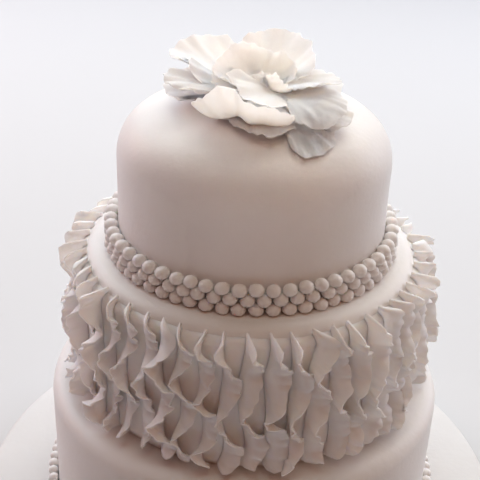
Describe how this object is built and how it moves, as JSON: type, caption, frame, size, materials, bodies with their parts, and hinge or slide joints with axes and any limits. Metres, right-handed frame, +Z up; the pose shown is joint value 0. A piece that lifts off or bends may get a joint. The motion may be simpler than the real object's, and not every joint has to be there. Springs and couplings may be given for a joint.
{
  "type": "tiered wedding cake",
  "caption": "Three-tier round wedding cake in white sugar paste on an iced drum, with strings of sugar pearls, a band of vertical frills and an open sugar flower on top.",
  "frame": {"origin": "centre of the underside of the iced drum", "axes": "+Z up the common axis of the tiers, -Y towards the front, +X to the right seen from the front"},
  "size_m": [0.364, 0.364, 0.3395],
  "materials": {
    "sugar_paste": null,
    "pearl_paste": null,
    "flower_paste": null
  },
  "bodies": {
    "root": {"cake_drum": "sugar_paste", "tier_bottom": "sugar_paste", "tier_middle": "sugar_paste", "tier_top": "sugar_paste", "frill_band": "sugar_paste", "top_pearls_low": "pearl_paste", "top_pearls_middle": "pearl_paste", "top_pearls_high": "pearl_paste", "base_pearls_low": "pearl_paste", "base_pearls_middle": "pearl_paste", "base_pearls_high": "pearl_paste", "flower_heart": "flower_paste", "petal_1_front": "flower_paste", "petal_1_front_right": "flower_paste", "petal_1_right": "flower_paste", "petal_1_back_right": "flower_paste", "petal_1_back": "flower_paste", "petal_1_left": "flower_paste", "petal_2_left": "flower_paste", "petal_2_back_left": "flower_paste", "petal_2_back_right": "flower_paste", "petal_2_right": "flower_paste", "petal_3_back_left": "flower_paste", "petal_3_back": "flower_paste", "petal_3_right": "flower_paste", "petal_3_front_left": "flower_paste", "petal_4_back": "flower_paste", "petal_4_left": "flower_paste", "petal_4_front": "flower_paste", "petal_5_front": "flower_paste"}
  },
  "joints": []
}
